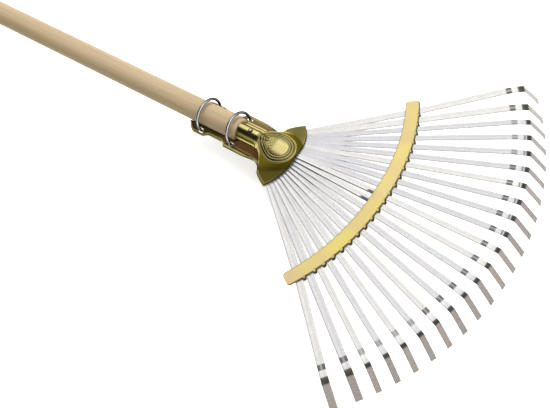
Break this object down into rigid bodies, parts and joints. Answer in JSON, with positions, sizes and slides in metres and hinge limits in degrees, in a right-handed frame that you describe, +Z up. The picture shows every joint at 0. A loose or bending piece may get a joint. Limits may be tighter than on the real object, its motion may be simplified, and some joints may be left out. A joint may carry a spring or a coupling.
{
  "type": "leaf rake",
  "caption": "Leaf rake: a fan of flat spring-steel tines with hooked tips, a curved cross brace and a pressed brass-coloured head clamped by wire rings to a round wooden handle",
  "frame": {"origin": "centre of the bounding box's bottom face, on the ground the rake lies on", "axes": "+X along the rake from the handle's butt to the tine tips, +Y to its left, +Z up; the tine tips point down"},
  "size_m": [1.6178, 0.4318, 0.0617],
  "materials": {
    "wood": "plain turned hardwood, fine straight grain, unvarnished",
    "head_brass": "polished brass-plated pressed steel with dark high-contrast reflections",
    "brace_gold": "satin yellow-gold plated steel strip",
    "tine_steel": "bright galvanized spring steel",
    "ring_chrome": "bright plated wire",
    "nail_steel": "domed nail head, dull bright steel"
  },
  "bodies": {
    "rake": {"handle": "wood", "handle_nail": "nail_steel", "socket_base": "head_brass", "head_cover": "head_brass", "brace_upper": "brace_gold", "brace_lower": "brace_gold", "tine_01": "tine_steel", "tine_02": "tine_steel", "tine_03": "tine_steel", "tine_04": "tine_steel", "tine_05": "tine_steel", "tine_06": "tine_steel", "tine_07": "tine_steel", "tine_08": "tine_steel", "tine_09": "tine_steel", "tine_10": "tine_steel", "tine_11": "tine_steel", "tine_12": "tine_steel", "tine_13": "tine_steel", "tine_14": "tine_steel", "tine_15": "tine_steel", "tine_16": "tine_steel", "tine_17": "tine_steel", "tine_18": "tine_steel", "tine_19": "tine_steel", "tine_20": "tine_steel", "tine_21": "tine_steel", "tine_22": "tine_steel"},
    "rear_ring": {"rear_ring": "ring_chrome"},
    "front_ring": {"front_ring": "ring_chrome"}
  },
  "joints": [
    {"name": "rear_ring_swing", "type": "hinge", "parent": "rake", "child": "rear_ring", "pos_m": [0.41786, -0.00211, 0.03243], "axis": [0, 1, 0], "range_deg": [-19, 33]},
    {"name": "front_ring_swing", "type": "hinge", "parent": "rake", "child": "front_ring", "pos_m": [0.46397, -0.00211, 0.03458], "axis": [0, 1, 0], "range_deg": [-13, 39]}
  ]
}
